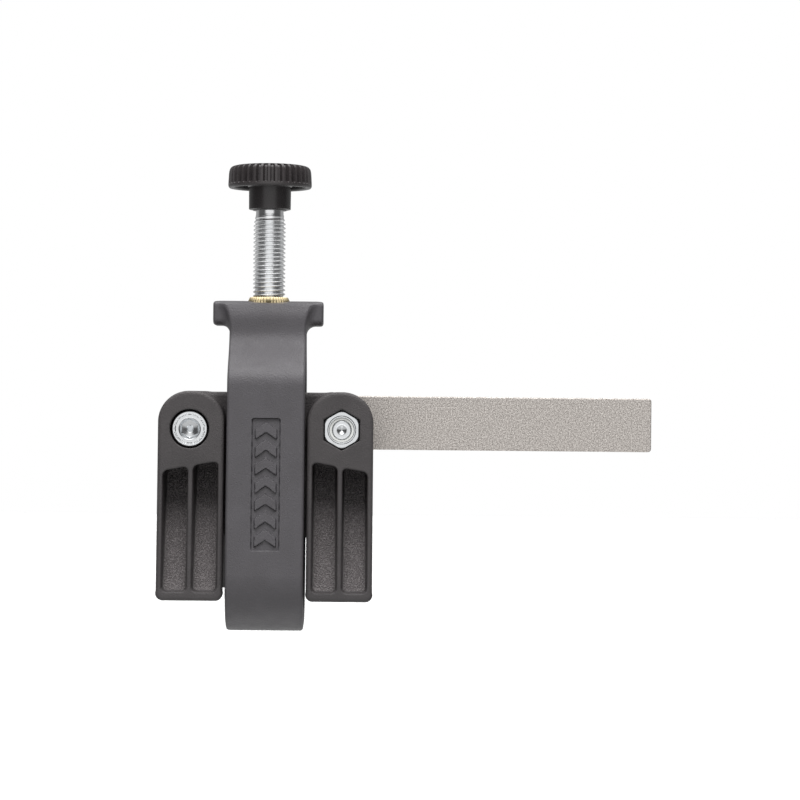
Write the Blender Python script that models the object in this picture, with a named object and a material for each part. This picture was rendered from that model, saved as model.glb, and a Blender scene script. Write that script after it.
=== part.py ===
"""Small-knife honing guide.

A black two-part saddle is bolted round a flat steel tongue. Its four ribbed arms straddle a knife handle
as an inverted V. A grey yoke loops round the saddle and the handle, and a knurled screw through the yoke's
head bears on the tongue, so that turning it draws the yoke up and presses the handle into the V.

Design frame, in which all the shapes are drawn: X along the tongue, Y from front to rear, Z up. The screw's
axis is X = Y = 0, and Z = 0 is the tongue's centre line. One empty then carries the whole assembly, so that
the world origin lies on the front face of the tongue, in the middle of the length that a jig clamps.
"""

import math

import bmesh
import bpy

MM = 0.001
GAP = 0.3 * MM  # clearance kept between pieces that touch
SPARE = 1.0 * MM  # by which a cutter runs past what it cuts, or a joined shape into its neighbour
ROUND_STEPS = 32  # sides of a turned piece

# Tongue: the flat steel bar
TONGUE_LEFT = -24.3 * MM
TONGUE_RIGHT = 93.0 * MM
TONGUE_HALF_THICKNESS = 2.0 * MM
TONGUE_HALF_HEIGHT = 6.5 * MM
TONGUE_CORNER = 0.8 * MM
TONGUE_HIDDEN_CORNER = 5.0 * MM  # at the end inside the saddle
TONGUE_FREE_FROM = 25.6 * MM  # just outside the saddle
TONGUE_RELIEF = 0.1 * MM  # by which the hidden part is smaller all round
TONGUE_LAP = 5.0 * MM  # how far the hidden part runs into the free part
MOUNT_X = 60.0 * MM  # middle of the length that a jig clamps

# Saddle: two equal mouldings, one turned half round about Z
ARM_CENTRE_X = 17.6 * MM
ARM_HALF_WIDTH = 7.9 * MM
ARM_TOP_CENTRE_Z = -0.45 * MM  # centre of the arm's round top
ARM_BOTTOM_Z = -41.8 * MM
ARM_BOTTOM_CORNER = 1.6 * MM
BOSS_FACE_Y = 17.8 * MM  # the arm's flat upper face, from the mid-plane
BOSS_FACE_BOTTOM_Z = -9.0 * MM
RIB_TIP_BOTTOM_Y = 21.8 * MM  # the ribs' outer edge at the foot
JAW_INNER_Y = TONGUE_HALF_THICKNESS + GAP
NOSE_TOP_Z = -TONGUE_HALF_HEIGHT - GAP  # the ledge that the tongue rests on
NOSE_BOTTOM_Z = -9.0 * MM
V_APEX_Z = 1.4 * MM
V_HALF_ANGLE = math.radians(22.5)
V_WALL = 2.3 * MM  # thickness of the V wall, square to its face
WEB_TOP_Z = 7.2 * MM
WEB_TOP_EDGE = 1.0 * MM  # chamfer that lets the yoke's shoulders down further
WEB_FACE_Y = 7.5 * MM
WEB_BOTTOM_Z = -27.0 * MM
WEB_LAP = 1.0 * MM  # how far the web runs into each arm

# Pockets between the ribs
POCKET_WIDTH = 6.0 * MM
MIDDLE_RIB = 1.1 * MM
POCKET_TOP_Z = -10.4 * MM  # at the arm's middle
POCKET_TOP_SLOPE = math.tan(math.radians(10.0))  # rises towards the yoke
POCKET_BOTTOM_Z = -39.8 * MM
POCKET_MARGIN = 5.0 * MM  # by which the pocket's cutter is longer than the pocket, at both ends

# Bolts and lock nuts
BOLT_X = 17.95 * MM
BOLT_Z = -1.6 * MM
BOLT_RADIUS = 2.5 * MM
BOLT_LENGTH = 30.0 * MM
BOLT_CHAMFER = 0.4 * MM
HEAD_RADIUS = 4.25 * MM
HEAD_HEIGHT = 5.0 * MM
HEAD_CHAMFER = 0.4 * MM
SOCKET_ACROSS_FLATS = 4.0 * MM
SOCKET_DEPTH = 2.6 * MM
SEAT_Y = 12.6 * MM  # under the head and under the nut, from the mid-plane
COUNTERBORE_RADIUS = 4.75 * MM
NUT_ACROSS_FLATS = 8.0 * MM
NUT_HEX_HEIGHT = 3.8 * MM
NUT_HEIGHT = 5.0 * MM
NUT_COLLAR_RADIUS = 3.85 * MM
NUT_RECESS_ACROSS_FLATS = 8.6 * MM
RING_OUTER_RADIUS = 3.3 * MM
RING_TOP = 4.6 * MM  # the nylon ring's top, above the nut's seat
RING_HEIGHT = 1.2 * MM

# Yoke: the grey loop
YOKE_HALF_WIDTH = 9.2 * MM
YOKE_TOP_Z = 29.3 * MM
YOKE_BOTTOM_Z = -49.8 * MM
YOKE_TOP_EDGE = 5.0 * MM
YOKE_HEAD_Y = 8.0 * MM
YOKE_HEAD_BOTTOM_Z = 23.0 * MM  # where the shoulders start
YOKE_SHOULDER_Z = 7.0 * MM  # where the shoulders end
YOKE_SHOULDER_Y = 19.0 * MM
YOKE_WALL = 4.3 * MM
YOKE_FOOT_Y = 22.9 * MM
YOKE_FOOT_RADIUS = 14.0 * MM
YOKE_FLOOR = 4.1 * MM  # thickness under the handle
YOKE_WINDOW_TOP_Z = 18.0 * MM
YOKE_WINDOW_TOP_Y = 6.5 * MM
YOKE_WINDOW_SHOULDER_Z = 5.5 * MM
CROSSBAR_HALF_LENGTH = 13.3 * MM
CROSSBAR_HALF_DEPTH = 5.5 * MM
CROSSBAR_HEIGHT = 6.0 * MM
CROSSBAR_CORNER = 0.8 * MM
CROSSBAR_DROP = 0.02 * MM  # keeps its flat top from coinciding with the head's
PANEL_HALF_WIDTH = 3.3 * MM
PANEL_TOP_Z = 1.0 * MM
PANEL_BOTTOM_Z = -30.0 * MM
PANEL_DEPTH = 0.4 * MM

# Threaded insert, clamp screw and knob
INSERT_RADIUS = 5.1 * MM
INSERT_TOP_Z = 30.2 * MM
INSERT_BOTTOM_Z = 19.0 * MM
SCREW_RADIUS = 3.9 * MM
SCREW_BORE_RADIUS = SCREW_RADIUS + GAP
SCREW_NECK_RADIUS = 3.5 * MM
SCREW_NECK_Z = 48.5 * MM
SCREW_TIP_RADIUS = 3.0 * MM
SCREW_TIP_LENGTH = 1.8 * MM
SCREW_CONE = 0.6 * MM  # height of the cone above the tip
NECK_CONE = 0.4 * MM  # height of the cone under the neck
SCREW_TIP_Z = TONGUE_HALF_HEIGHT + GAP
SCREW_TOP_Z = 58.5 * MM
TIP_SEAT_RADIUS = 3.6 * MM
TIP_SEAT_DEPTH = 0.9 * MM
KNOB_RADIUS = 10.15 * MM
KNOB_TOP_Z = 62.3 * MM
KNOB_RIM_BOTTOM_Z = 56.9 * MM
KNOB_EDGE = 0.9 * MM
KNOB_CROWN = 0.05 * MM  # keeps the edge's tool clear of the flat top
KNOB_FLUTES = 36
KNOB_FLUTE_DEPTH = 0.5 * MM
KNOB_HOLLOW_RADIUS = 8.6 * MM
KNOB_HOLLOW_TOP_Z = 59.6 * MM
HUB_RADIUS = 5.1 * MM
HUB_COLLAR_RADIUS = 5.5 * MM  # the hub inside the rim
HUB_BOTTOM_Z = 51.5 * MM


def clear_scene():
    for obj in list(bpy.data.objects):
        bpy.data.objects.remove(obj)


def link(name, mesh):
    obj = bpy.data.objects.new(name, mesh)
    bpy.context.scene.collection.objects.link(obj)
    return obj


def finish_mesh(bm, name):
    """The bmesh as an object, with its faces pointing out and its round stretches smooth."""
    bmesh.ops.remove_doubles(bm, verts=bm.verts, dist=1e-7)
    bmesh.ops.recalc_face_normals(bm, faces=bm.faces)
    mesh = bpy.data.meshes.new(name)
    bm.to_mesh(mesh)
    bm.free()
    mesh.shade_smooth()
    mesh.set_sharp_from_angle(angle=math.radians(30))
    return link(name, mesh)


def prism(name, outline, axis, low, high):
    """The outline extruded along X, Y or Z from low to high. Its points are the other two coordinates."""
    place = {
        "X": lambda u, v, along: (along, u, v),
        "Y": lambda u, v, along: (u, along, v),
        "Z": lambda u, v, along: (u, v, along),
    }[axis]
    bm = bmesh.new()
    face = bm.faces.new([bm.verts.new(place(u, v, low)) for u, v in outline])
    extruded = bmesh.ops.extrude_face_region(bm, geom=[face])
    moved = [v for v in extruded["geom"] if isinstance(v, bmesh.types.BMVert)]
    bmesh.ops.translate(bm, verts=moved, vec=place(0, 0, high - low))
    return finish_mesh(bm, name)


def spun(name, profile, closed, steps):
    bm = bmesh.new()
    points = [bm.verts.new((radius, 0, z)) for radius, z in profile]
    ends = points[1:] + points[:1] if closed else points[1:]
    edges = [bm.edges.new(pair) for pair in zip(points, ends)]
    bmesh.ops.spin(
        bm,
        geom=points + edges,
        axis=(0, 0, 1),
        cent=(0, 0, 0),
        angle=math.tau,
        steps=steps,
        use_merge=True,
    )
    return finish_mesh(bm, name)


def turned(name, profile, steps=ROUND_STEPS):
    """The profile of (radius, z) points, which starts and ends on the axis, spun about Z."""
    return spun(name, profile, False, steps)


def turned_ring(name, profile):
    """A closed profile of (radius, z) points, clear of the axis, spun about Z."""
    return spun(name, profile, True, ROUND_STEPS)


def boolean(obj, other, operation):
    modifier = obj.modifiers.new(other.name, "BOOLEAN")
    modifier.operation = operation
    modifier.object = other
    modifier.solver = "EXACT"
    other.hide_render = True
    other.display_type = "WIRE"
    return obj


def mirrored(half):
    """A half outline from the top to the bottom at Y >= 0, with its mirror image at Y < 0 added."""
    return half + [(-u, v) for u, v in reversed(half) if u > 0]


def arc(centre, radius, start, end, steps):
    """Points on an arc, with the angles in degrees."""
    angles = [math.radians(start + (end - start) * i / steps) for i in range(steps + 1)]
    return [(centre[0] + radius * math.cos(a), centre[1] + radius * math.sin(a)) for a in angles]


def smooth(t):
    """Rises from 0 to 1 with a level start and end."""
    return t * t * (3 - 2 * t)


def hexagon(across_flats, centre=(0, 0)):
    """A hexagon with one corner up."""
    corner = across_flats / math.sqrt(3)
    turns = [math.radians(90 + 60 * i) for i in range(6)]
    return [(centre[0] + corner * math.cos(a), centre[1] + corner * math.sin(a)) for a in turns]


def rounded_box_outline(half_u, low_v, high_v, corner, steps=4):
    """A rectangle from -half_u to half_u with round corners."""
    u = half_u - corner
    return (
        arc((u, high_v - corner), corner, 0, 90, steps)
        + arc((-u, high_v - corner), corner, 90, 180, steps)
        + arc((-u, low_v + corner), corner, 180, 270, steps)
        + arc((u, low_v + corner), corner, 270, 360, steps)
    )


def material(name, colour, roughness, metallic=0.0):
    made = bpy.data.materials.new(name)
    made.use_nodes = True
    shader = made.node_tree.nodes["Principled BSDF"]
    shader.inputs["Base Color"].default_value = (*colour, 1)
    shader.inputs["Roughness"].default_value = roughness
    shader.inputs["Metallic"].default_value = metallic
    return made


def make_materials():
    return {
        "grey_plastic": material("grey_plastic", (0.10, 0.10, 0.105), 0.5),
        "black_plastic": material("black_plastic", (0.07, 0.065, 0.066), 0.45),
        "knob_plastic": material("knob_plastic", (0.03, 0.028, 0.028), 0.4),
        "blasted_steel": material("blasted_steel", (0.45, 0.43, 0.41), 0.55, 1.0),
        "zinc_plate": material("zinc_plate", (0.72, 0.73, 0.75), 0.25, 1.0),
        "brass": material("brass", (0.78, 0.57, 0.25), 0.3, 1.0),
        "nylon": material("nylon", (0.75, 0.76, 0.74), 0.4),
    }


# ---------------------------------------------------------------- saddle


def v_inner_y(z):
    """The V's inner face at that height, from the mid-plane."""
    return (V_APEX_Z - z) * math.tan(V_HALF_ANGLE)


def v_outer_y(z):
    return v_inner_y(z) + V_WALL / math.cos(V_HALF_ANGLE)


def jaw_inner_edge(top_z, bottom_z):
    """The inner edge that arms and web share, from top to bottom, as (y, z) in front of the mid-plane."""
    edge = [
        (JAW_INNER_Y, top_z),
        (JAW_INNER_Y, NOSE_TOP_Z),
        (GAP / 2, NOSE_TOP_Z),
        (GAP / 2, NOSE_BOTTOM_Z),
        (v_inner_y(NOSE_BOTTOM_Z), NOSE_BOTTOM_Z),
        (v_inner_y(bottom_z), bottom_z),
    ]
    return [(-y, z) for y, z in edge]


def arm(name, side):
    """One arm: its side profile along X, trimmed to its front outline with the round top."""
    arm_top_z = ARM_TOP_CENTRE_Z + ARM_HALF_WIDTH
    profile = jaw_inner_edge(arm_top_z, ARM_BOTTOM_Z) + [
        (-RIB_TIP_BOTTOM_Y, ARM_BOTTOM_Z),
        (-BOSS_FACE_Y, BOSS_FACE_BOTTOM_Z),
        (-BOSS_FACE_Y, arm_top_z),
    ]
    centre = side * ARM_CENTRE_X
    reach = ARM_HALF_WIDTH + SPARE
    body = prism(name, profile, "X", centre - reach, centre + reach)
    foot = ARM_HALF_WIDTH - ARM_BOTTOM_CORNER
    outline = (
        arc((centre, ARM_TOP_CENTRE_Z), ARM_HALF_WIDTH, 0, 180, 20)
        + arc((centre - foot, ARM_BOTTOM_Z + ARM_BOTTOM_CORNER), ARM_BOTTOM_CORNER, 180, 270, 4)
        + arc((centre + foot, ARM_BOTTOM_Z + ARM_BOTTOM_CORNER), ARM_BOTTOM_CORNER, 270, 360, 4)
    )
    trim = prism(name + "_outline", outline, "Y", -2 * RIB_TIP_BOTTOM_Y, SPARE)
    return boolean(body, trim, "INTERSECT")


def pocket(name, arm_side, pocket_side):
    """Cutter for one pocket. Its floor follows the V wall, and its top rises towards the yoke."""
    centre = arm_side * ARM_CENTRE_X + pocket_side * (POCKET_WIDTH + MIDDLE_RIB) / 2
    left = centre - POCKET_WIDTH / 2
    right = centre + POCKET_WIDTH / 2
    front = -2 * RIB_TIP_BOTTOM_Y
    above = BOSS_FACE_BOTTOM_Z + POCKET_MARGIN
    profile = [
        (-v_outer_y(above), above),
        (-v_outer_y(POCKET_BOTTOM_Z), POCKET_BOTTOM_Z),
        (front, POCKET_BOTTOM_Z),
        (front, above),
    ]
    cutter = prism(name, profile, "X", left, right)

    def top_z(x):
        return POCKET_TOP_Z + (ARM_CENTRE_X - abs(x)) * POCKET_TOP_SLOPE

    below = POCKET_BOTTOM_Z - POCKET_MARGIN
    outline = [
        (left - SPARE, below),
        (right + SPARE, below),
        (right + SPARE, top_z(right + SPARE)),
        (left - SPARE, top_z(left - SPARE)),
    ]
    trim = prism(name + "_outline", outline, "Y", 2 * front, SPARE)
    return boolean(cutter, trim, "INTERSECT")


def jaw(name, turn):
    """One of the saddle's two equal mouldings, drawn in front and turned about Z."""
    web_profile = jaw_inner_edge(WEB_TOP_Z, WEB_BOTTOM_Z) + [
        (-v_outer_y(WEB_BOTTOM_Z), WEB_BOTTOM_Z),
        (-WEB_FACE_Y, V_APEX_Z - (WEB_FACE_Y - v_outer_y(V_APEX_Z)) / math.tan(V_HALF_ANGLE)),
        (-WEB_FACE_Y, WEB_TOP_Z - WEB_TOP_EDGE),
        (-WEB_FACE_Y + WEB_TOP_EDGE, WEB_TOP_Z),
    ]
    web_half = ARM_CENTRE_X - ARM_HALF_WIDTH + WEB_LAP
    body = prism(name, web_profile, "X", -web_half, web_half)
    for side in (-1, 1):
        boolean(body, arm(f"{name}_arm_{side}", side), "UNION")
    for side in (-1, 1):
        for pocket_side in (-1, 1):
            boolean(body, pocket(f"{name}_pocket_{side}_{pocket_side}", side, pocket_side), "DIFFERENCE")
        hole = along_y(
            turned(f"{name}_hole_{side}", cylinder(BOLT_RADIUS + GAP, -SPARE, 2 * BOSS_FACE_Y)),
            side * BOLT_X,
        )
        boolean(body, hole, "DIFFERENCE")
    seat = SEAT_Y - GAP
    counterbore = turned(name + "_counterbore", cylinder(COUNTERBORE_RADIUS, seat, 2 * BOSS_FACE_Y))
    boolean(body, along_y(counterbore, -BOLT_X), "DIFFERENCE")
    recess = prism(
        name + "_nut_recess", hexagon(NUT_RECESS_ACROSS_FLATS, (BOLT_X, BOLT_Z)), "Y", -2 * BOSS_FACE_Y, -seat
    )
    boolean(body, recess, "DIFFERENCE")
    tip_seat_profile = cylinder(TIP_SEAT_RADIUS, WEB_TOP_Z - TIP_SEAT_DEPTH, 2 * WEB_TOP_Z)
    tip_seat = turned(name + "_tip_seat", tip_seat_profile)
    boolean(body, tip_seat, "DIFFERENCE")
    if turn:
        turn_about_z(body)
    return body


def cylinder(radius, low, high):
    """The (radius, z) profile of a plain cylinder."""
    return [(0, low), (radius, low), (radius, high), (0, high)]


def along_y(obj, x):
    """Lays a piece turned about Z along the bolt line, so that its +Z points to the front."""
    obj.rotation_euler = (math.radians(90), 0, 0)
    obj.location = (x, 0, BOLT_Z)
    return obj


def turn_about_z(obj):
    """Turns the piece half round the screw's axis, with the cutters that shape it."""
    turner = bpy.data.objects.new(obj.name + "_turn", None)
    bpy.context.scene.collection.objects.link(turner)
    bpy.context.view_layer.update()
    for part in [obj, *cutters_of(obj)]:
        part.parent = turner
    turner.rotation_euler = (0, 0, math.pi)
    return turner


def cutters_of(obj):
    """Every object that shapes obj through its Booleans, at any depth."""
    found = []
    for modifier in obj.modifiers:
        if modifier.type == "BOOLEAN":
            found += [modifier.object, *cutters_of(modifier.object)]
    return found


# ---------------------------------------------------------------- tongue and fasteners


def tongue():
    """The flat bar: its free part, and a slightly smaller part in the saddle with a hole for each bolt."""
    top = TONGUE_HALF_HEIGHT
    corner = TONGUE_CORNER
    free_outline = (
        arc((TONGUE_RIGHT - corner, -top + corner), corner, 270, 360, 4)
        + arc((TONGUE_RIGHT - corner, top - corner), corner, 0, 90, 4)
        + [(TONGUE_FREE_FROM, top), (TONGUE_FREE_FROM, -top)]
    )
    bar = prism("tongue", free_outline, "Y", -TONGUE_HALF_THICKNESS, TONGUE_HALF_THICKNESS)
    top = TONGUE_HALF_HEIGHT - TONGUE_RELIEF
    half_thickness = TONGUE_HALF_THICKNESS - TONGUE_RELIEF
    corner = TONGUE_HIDDEN_CORNER
    right = TONGUE_FREE_FROM + TONGUE_LAP
    hidden_outline = (
        [(right, -top), (right, top)]
        + arc((TONGUE_LEFT + corner, top - corner), corner, 90, 180, 6)
        + arc((TONGUE_LEFT + corner, -top + corner), corner, 180, 270, 6)
    )
    hidden = prism("tongue_hidden_part", hidden_outline, "Y", -half_thickness, half_thickness)
    boolean(bar, hidden, "UNION")
    for side in (-1, 1):
        hole = turned(f"tongue_hole_{side}", cylinder(BOLT_RADIUS + GAP, -SEAT_Y, SEAT_Y))
        boolean(bar, along_y(hole, side * BOLT_X), "DIFFERENCE")
    return bar


def bolt(name, x, facing):
    """A socket head bolt whose head faces the front (1) or the rear (-1)."""
    head_top = SEAT_Y + HEAD_HEIGHT
    end = SEAT_Y - BOLT_LENGTH
    profile = [
        (0, head_top),
        (HEAD_RADIUS - HEAD_CHAMFER, head_top),
        (HEAD_RADIUS, head_top - HEAD_CHAMFER),
        (HEAD_RADIUS, SEAT_Y),
        (BOLT_RADIUS, SEAT_Y),
        (BOLT_RADIUS, end + BOLT_CHAMFER),
        (BOLT_RADIUS - BOLT_CHAMFER, end),
        (0, end),
    ]
    made = turned(name, profile)
    socket = prism(name + "_socket", hexagon(SOCKET_ACROSS_FLATS), "Z", head_top - SOCKET_DEPTH, 2 * head_top)
    boolean(made, socket, "DIFFERENCE")
    return place_on_bolt_line(made, [socket], x, facing)


def nut(name, x, facing):
    """A lock nut: a hexagon, a round collar above it, and a bore that widens for the nylon ring."""
    low = SEAT_Y
    body = prism(name, hexagon(NUT_ACROSS_FLATS), "Z", low, low + NUT_HEX_HEIGHT)
    collar = turned(name + "_collar", cylinder(NUT_COLLAR_RADIUS, low + SPARE, low + NUT_HEIGHT))
    bore = turned(name + "_bore", cylinder(BOLT_RADIUS + GAP, low - SPARE, low + 2 * NUT_HEIGHT))
    groove_bottom = low + RING_TOP - RING_HEIGHT - GAP
    groove = turned(name + "_groove", cylinder(RING_OUTER_RADIUS + GAP, groove_bottom, low + 2 * NUT_HEIGHT))
    boolean(body, collar, "UNION")
    boolean(body, bore, "DIFFERENCE")
    boolean(body, groove, "DIFFERENCE")
    return place_on_bolt_line(body, [collar, bore, groove], x, facing)


def nylon_ring(name, x, facing):
    """The soft ring in a lock nut's collar."""
    top = SEAT_Y + RING_TOP
    bottom = top - RING_HEIGHT
    inner = BOLT_RADIUS + GAP
    profile = [(inner, bottom), (RING_OUTER_RADIUS, bottom), (RING_OUTER_RADIUS, top), (inner, top)]
    return place_on_bolt_line(turned_ring(name, profile), [], x, facing)


def place_on_bolt_line(obj, cutters, x, facing):
    """Puts a piece drawn along Z on the bolt line, with its +Z to the front (1) or to the rear (-1)."""
    for part in [obj, *cutters]:
        part.rotation_euler = (math.radians(90 * facing), 0, 0)
        part.location = (x, 0, BOLT_Z)
    return obj


# ---------------------------------------------------------------- yoke


def yoke_outer():
    """Half of the yoke's outer side profile, from the top to the foot."""
    head = YOKE_HEAD_Y
    shoulder = YOKE_SHOULDER_Y - head
    drop = YOKE_HEAD_BOTTOM_Z - YOKE_SHOULDER_Z
    top_edge = arc((head - YOKE_TOP_EDGE, YOKE_TOP_Z - YOKE_TOP_EDGE), YOKE_TOP_EDGE, 90, 0, 6)
    shoulders = [
        (head + shoulder * smooth(i / 12), YOKE_HEAD_BOTTOM_Z - drop * i / 12) for i in range(13)
    ]
    foot_centre = (YOKE_FOOT_Y - YOKE_FOOT_RADIUS, YOKE_BOTTOM_Z + YOKE_FOOT_RADIUS)
    foot = arc(foot_centre, YOKE_FOOT_RADIUS, 0, -90, 10)
    return top_edge + shoulders + foot


def yoke_window():
    """Half of the window's side profile, from under the head to the floor."""
    top = YOKE_WINDOW_TOP_Y
    widening = YOKE_SHOULDER_Y - YOKE_WALL - top
    drop = YOKE_WINDOW_TOP_Z - YOKE_WINDOW_SHOULDER_Z
    shoulders = [
        (top + widening * smooth(i / 10), YOKE_WINDOW_TOP_Z - drop * i / 10) for i in range(11)
    ]
    radius = YOKE_FOOT_RADIUS - YOKE_WALL
    foot_centre = (YOKE_FOOT_Y - YOKE_FOOT_RADIUS, YOKE_BOTTOM_Z + YOKE_FLOOR + radius)
    return shoulders + arc(foot_centre, radius, 0, -90, 8)


def yoke():
    body = prism("yoke", mirrored(yoke_outer()), "X", -YOKE_HALF_WIDTH, YOKE_HALF_WIDTH)
    crossbar_outline = rounded_box_outline(
        CROSSBAR_HALF_LENGTH, YOKE_TOP_Z - CROSSBAR_HEIGHT, YOKE_TOP_Z, CROSSBAR_CORNER
    )
    crossbar = prism("yoke_crossbar", crossbar_outline, "Y", -CROSSBAR_HALF_DEPTH, CROSSBAR_HALF_DEPTH)
    crossbar.location.z = -CROSSBAR_DROP
    window = prism("yoke_window", mirrored(yoke_window()), "X", -2 * YOKE_HALF_WIDTH, 2 * YOKE_HALF_WIDTH)
    hole = turned("yoke_hole", cylinder(INSERT_RADIUS + GAP, 0, 2 * YOKE_TOP_Z))
    boolean(body, crossbar, "UNION")
    boolean(body, window, "DIFFERENCE")
    boolean(body, hole, "DIFFERENCE")
    boolean(body, name_panel(), "DIFFERENCE")
    return body


def name_panel():
    """Cutter for the shallow blank panel in the front leg, parallel to the leg's sloping face."""
    rise = YOKE_SHOULDER_Z - (YOKE_BOTTOM_Z + YOKE_FOOT_RADIUS)
    slope = (YOKE_FOOT_Y - YOKE_SHOULDER_Y) / rise

    def floor_y(z):
        return -(YOKE_SHOULDER_Y + (YOKE_SHOULDER_Z - z) * slope - PANEL_DEPTH)

    front = -2 * YOKE_FOOT_Y
    profile = [
        (floor_y(PANEL_TOP_Z), PANEL_TOP_Z),
        (floor_y(PANEL_BOTTOM_Z), PANEL_BOTTOM_Z),
        (front, PANEL_BOTTOM_Z),
        (front, PANEL_TOP_Z),
    ]
    return prism("yoke_panel", profile, "X", -PANEL_HALF_WIDTH, PANEL_HALF_WIDTH)


# ---------------------------------------------------------------- insert, screw and knob


def threaded_insert():
    bore = SCREW_BORE_RADIUS
    profile = [
        (bore, INSERT_BOTTOM_Z),
        (INSERT_RADIUS, INSERT_BOTTOM_Z),
        (INSERT_RADIUS, INSERT_TOP_Z),
        (bore, INSERT_TOP_Z),
    ]
    return turned_ring("threaded_insert", profile)


def clamp_screw():
    """The screw at its outer diameter, with a plain tip below and a plain neck inside the knob."""
    tip_top = SCREW_TIP_Z + SCREW_TIP_LENGTH
    profile = [
        (0, SCREW_TIP_Z),
        (SCREW_TIP_RADIUS, SCREW_TIP_Z),
        (SCREW_TIP_RADIUS, tip_top),
        (SCREW_RADIUS, tip_top + SCREW_CONE),
        (SCREW_RADIUS, SCREW_NECK_Z),
        (SCREW_NECK_RADIUS, SCREW_NECK_Z + NECK_CONE),
        (SCREW_NECK_RADIUS, SCREW_TOP_Z),
        (0, SCREW_TOP_Z),
    ]
    return turned("clamp_screw", profile)


def knob():
    """A fluted rim on a hub, hollow underneath, with a blind hole for the screw."""
    flat = math.tau / KNOB_FLUTES
    outline = []
    ridge = ((0.0, KNOB_RADIUS), (0.45, KNOB_RADIUS), (0.72, KNOB_RADIUS - KNOB_FLUTE_DEPTH))
    for i in range(KNOB_FLUTES):
        for share, radius in ridge:
            angle = (i + share) * flat
            outline.append((radius * math.cos(angle), radius * math.sin(angle)))
    rim = prism("knob", outline, "Z", KNOB_RIM_BOTTOM_Z, KNOB_TOP_Z)
    edge = [
        (0, KNOB_RIM_BOTTOM_Z - SPARE),
        (KNOB_RADIUS - KNOB_EDGE / 2, KNOB_RIM_BOTTOM_Z - KNOB_EDGE / 9),
        (KNOB_RADIUS, KNOB_RIM_BOTTOM_Z + KNOB_EDGE / 2),
        (KNOB_RADIUS - KNOB_EDGE / 4, KNOB_TOP_Z - KNOB_EDGE),
        (KNOB_RADIUS - KNOB_EDGE, KNOB_TOP_Z - KNOB_EDGE / 4),
        (0, KNOB_TOP_Z + KNOB_CROWN),
    ]
    boolean(rim, turned("knob_edge", edge, steps=2 * KNOB_FLUTES), "INTERSECT")
    below = KNOB_RIM_BOTTOM_Z - KNOB_RADIUS
    hollow_outline = [
        (HUB_COLLAR_RADIUS, below),
        (KNOB_HOLLOW_RADIUS, below),
        (KNOB_HOLLOW_RADIUS, KNOB_HOLLOW_TOP_Z),
        (HUB_COLLAR_RADIUS, KNOB_HOLLOW_TOP_Z),
    ]
    boolean(rim, turned_ring("knob_hollow", hollow_outline), "DIFFERENCE")
    hub = turned("knob_hub", cylinder(HUB_RADIUS, HUB_BOTTOM_Z, KNOB_TOP_Z - KNOB_EDGE))
    boolean(rim, hub, "UNION")
    hole = turned("knob_hole", cylinder(SCREW_NECK_RADIUS + GAP, 0, SCREW_TOP_Z + GAP))
    return boolean(rim, hole, "DIFFERENCE")


# ---------------------------------------------------------------- assembly


def assemble():
    clear_scene()
    looks = make_materials()
    pieces = [
        (yoke(), "grey_plastic"),
        (threaded_insert(), "brass"),
        (clamp_screw(), "zinc_plate"),
        (knob(), "knob_plastic"),
        (jaw("front_jaw", turn=False), "black_plastic"),
        (jaw("rear_jaw", turn=True), "black_plastic"),
        (tongue(), "blasted_steel"),
        (bolt("left_bolt", -BOLT_X, 1), "zinc_plate"),
        (bolt("right_bolt", BOLT_X, -1), "zinc_plate"),
        (nut("left_nut", -BOLT_X, -1), "zinc_plate"),
        (nut("right_nut", BOLT_X, 1), "zinc_plate"),
        (nylon_ring("left_nut_ring", -BOLT_X, -1), "nylon"),
        (nylon_ring("right_nut_ring", BOLT_X, 1), "nylon"),
    ]
    for obj, look in pieces:
        obj.data.materials.append(looks[look])
    frame = bpy.data.objects.new("screw_axis", None)
    bpy.context.scene.collection.objects.link(frame)
    for obj in bpy.data.objects:
        if obj.parent is None and obj is not frame:
            obj.parent = frame
    frame.location = (-MOUNT_X, TONGUE_HALF_THICKNESS, 0)


assemble()
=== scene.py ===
import math

import bpy
import numpy as np
from mathutils import Matrix, Vector


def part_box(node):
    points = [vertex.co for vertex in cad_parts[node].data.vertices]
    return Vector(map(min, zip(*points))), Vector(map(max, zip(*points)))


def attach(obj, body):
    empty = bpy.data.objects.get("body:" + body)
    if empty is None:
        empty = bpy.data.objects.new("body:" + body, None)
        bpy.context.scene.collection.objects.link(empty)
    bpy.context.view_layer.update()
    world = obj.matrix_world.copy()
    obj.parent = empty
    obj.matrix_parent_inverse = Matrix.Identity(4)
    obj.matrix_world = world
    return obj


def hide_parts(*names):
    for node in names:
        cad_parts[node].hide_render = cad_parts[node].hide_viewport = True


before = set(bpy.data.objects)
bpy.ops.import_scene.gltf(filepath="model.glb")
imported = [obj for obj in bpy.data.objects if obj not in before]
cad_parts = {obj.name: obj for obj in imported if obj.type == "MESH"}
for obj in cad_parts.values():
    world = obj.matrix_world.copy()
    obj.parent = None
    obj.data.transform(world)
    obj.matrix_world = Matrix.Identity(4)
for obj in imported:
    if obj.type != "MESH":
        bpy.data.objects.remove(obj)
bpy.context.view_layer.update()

# Shapes are drawn in millimetres: the screw's axis is X = Y = 0, the front is -Y, and Z = 0 is the tongue's
# centre line. place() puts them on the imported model's own screw axis.

screw_low, screw_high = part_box("clamp_screw")
AXIS = ((screw_low[0] + screw_high[0]) / 2, (screw_low[1] + screw_high[1]) / 2, 0.0)
MM = 0.001


# ---------------------------------------------------------------- solids as distance fields


def length(*parts):
    return np.sqrt(sum(part * part for part in parts))


def meet(a, b, radius=0.0):
    """Where both solids are, with the edge between them rounded."""
    if radius == 0.0:
        return np.maximum(a, b)
    corner = length(np.maximum(a + radius, 0), np.maximum(b + radius, 0))
    return np.minimum(np.maximum(a, b), -radius) + corner


def join(a, b, radius=0.0):
    """Where either solid is, with a fillet between them."""
    return -meet(-a, -b, radius)


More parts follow.
